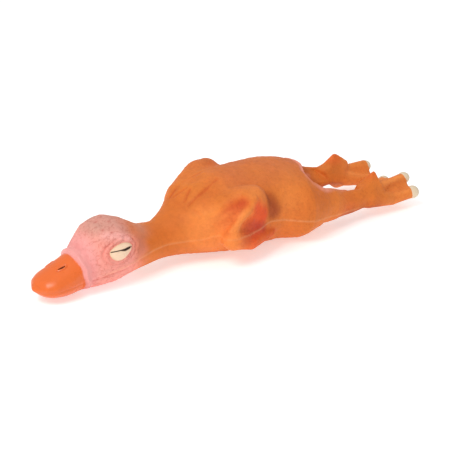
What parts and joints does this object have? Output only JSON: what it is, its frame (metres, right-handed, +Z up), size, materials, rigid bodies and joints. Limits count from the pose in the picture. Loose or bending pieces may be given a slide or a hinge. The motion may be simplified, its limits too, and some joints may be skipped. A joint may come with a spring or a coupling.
{
  "type": "rubber duck prank toy",
  "caption": "Squeaky latex prop shaped as a plucked duck lying on its belly, with a floppy neck, legs and feet that bend and a torso that squeezes.",
  "frame": {"origin": "on the ground under the middle of the toy's length, on its plane of symmetry", "axes": "+Y from the bill to the feet, +Z up from the belly to the back, +X to the bird's left"},
  "size_m": [0.1096, 0.3951, 0.07],
  "materials": {
    "body_latex": "soft satin latex with fine wrinkles and pores",
    "face_latex": "satin latex sprayed pink, pimpled and creased",
    "bill_latex": "smooth semi-gloss latex",
    "eye_paint": "cream paint with a dark slit",
    "nail_paint": "cream paint, slightly glossy",
    "squeaker_plastic": "moulded polyethylene",
    "reed_brass": "thin springy leaf"
  },
  "bodies": {
    "torso": {"belly_skin": "body_latex", "flank_flex": "body_latex", "neck_flex": "body_latex", "left_hip_flex": "body_latex", "right_hip_flex": "body_latex", "squeaker_cup": "squeaker_plastic", "reed_block": "squeaker_plastic", "squeaker_cap": "squeaker_plastic"},
    "back": {"back_skin": "body_latex", "left_wing": "body_latex", "right_wing": "body_latex"},
    "neck": {"neck_skin": "body_latex", "throat_flex": "face_latex"},
    "head": {"head_skin": "face_latex", "upper_bill": "bill_latex", "lower_bill": "bill_latex", "left_eyelid": "eye_paint", "right_eyelid": "eye_paint"},
    "reed_leaf": {"reed": "reed_brass"},
    "left_leg": {"left_leg_skin": "body_latex", "left_ankle_flex": "body_latex"},
    "left_paddle": {"left_foot": "body_latex", "left_hind_toe": "body_latex", "left_toenails": "nail_paint"},
    "right_leg": {"right_leg_skin": "body_latex", "right_ankle_flex": "body_latex"},
    "right_paddle": {"right_foot": "body_latex", "right_hind_toe": "body_latex", "right_toenails": "nail_paint"}
  },
  "joints": [
    {"name": "squeeze", "type": "slide", "parent": "torso", "child": "back", "axis": [0, 0, -1], "range_m": [0, 0.012], "stiffness_N_per_m": 400, "springref_m": -0.003, "deforming": ["flank_flex"]},
    {"name": "neck_bend", "type": "hinge", "parent": "torso", "child": "neck", "pos_m": [0, -0.068, 0.026], "axis": [-1, 0, 0], "range_deg": [-35, 55], "stiffness_Nm_per_rad": 0.6, "deforming": ["neck_flex"]},
    {"name": "head_turn", "type": "hinge", "parent": "neck", "child": "head", "pos_m": [0, -0.1, 0.026], "axis": [0, 0, 1], "range_deg": [-35, 35], "stiffness_Nm_per_rad": 0.4, "deforming": ["throat_flex"]},
    {"name": "reed_flutter", "type": "hinge", "parent": "torso", "child": "reed_leaf", "pos_m": [0, 0.0175, 0.00705], "axis": [1, 0, 0], "range_deg": [0, 6], "stiffness_Nm_per_rad": 0.0001, "springref_deg": -5.73},
    {"name": "left_hip", "type": "hinge", "parent": "torso", "child": "left_leg", "pos_m": [0.0285, 0.095, 0.0255], "axis": [1, 0, 0], "range_deg": [-30, 45], "stiffness_Nm_per_rad": 0.8, "deforming": ["left_hip_flex"]},
    {"name": "left_ankle", "type": "hinge", "parent": "left_leg", "child": "left_paddle", "pos_m": [0.0285, 0.138, 0.0225], "axis": [1, 0, 0], "range_deg": [-35, 35], "stiffness_Nm_per_rad": 0.4, "deforming": ["left_ankle_flex"]},
    {"name": "right_hip", "type": "hinge", "parent": "torso", "child": "right_leg", "pos_m": [-0.0285, 0.095, 0.0255], "axis": [1, 0, 0], "range_deg": [-30, 45], "stiffness_Nm_per_rad": 0.8, "deforming": ["right_hip_flex"]},
    {"name": "right_ankle", "type": "hinge", "parent": "right_leg", "child": "right_paddle", "pos_m": [-0.0285, 0.138, 0.0225], "axis": [1, 0, 0], "range_deg": [-35, 35], "stiffness_Nm_per_rad": 0.4, "deforming": ["right_ankle_flex"]}
  ]
}
